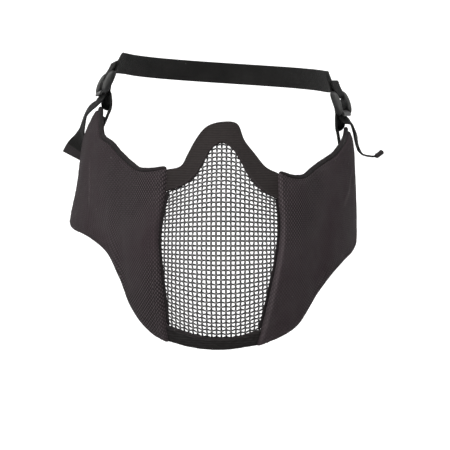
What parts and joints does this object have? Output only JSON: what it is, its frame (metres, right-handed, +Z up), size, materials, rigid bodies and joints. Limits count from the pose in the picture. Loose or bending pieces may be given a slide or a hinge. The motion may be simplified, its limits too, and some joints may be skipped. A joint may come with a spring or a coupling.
{
  "type": "mesh face mask",
  "caption": "Half-face mask with a woven wire mesh front, cloth nose and chin panels, padded side wings over the cheeks and ears, and a head strap with ladder locks.",
  "frame": {"origin": "seat on the bridge of the wearer's nose, just behind the inside face of the nose panel, where the mount nose_seat is", "axes": "+Z up as worn, +Y from the front of the mask towards the back of the head, +X towards the wearer's left"},
  "size_m": [0.2391, 0.2399, 0.2034],
  "materials": {
    "wire": "black coated woven wire with a soft sheen",
    "ribbed_cloth": "fine ribbed cloth, matt",
    "cloth": "plain woven nylon over padding, matt charcoal",
    "lining": "open net, black",
    "webbing": "ribbed elastic webbing",
    "plastic": "moulded black plastic, satin"
  },
  "bodies": {
    "root": {"wire_mesh_panel": "wire", "nose_panel": "ribbed_cloth", "chin_panel": "ribbed_cloth", "side_panel_right": "cloth", "side_panel_left": "cloth", "top_binding_right": "ribbed_cloth", "top_binding_left": "ribbed_cloth", "ear_lining_right": "lining", "ear_lining_left": "lining", "adjust_strap_right": "webbing", "adjust_strap_left": "webbing", "ladder_lock_right": "plastic", "ladder_lock_left": "plastic", "head_strap": "webbing"}
  },
  "joints": []
}
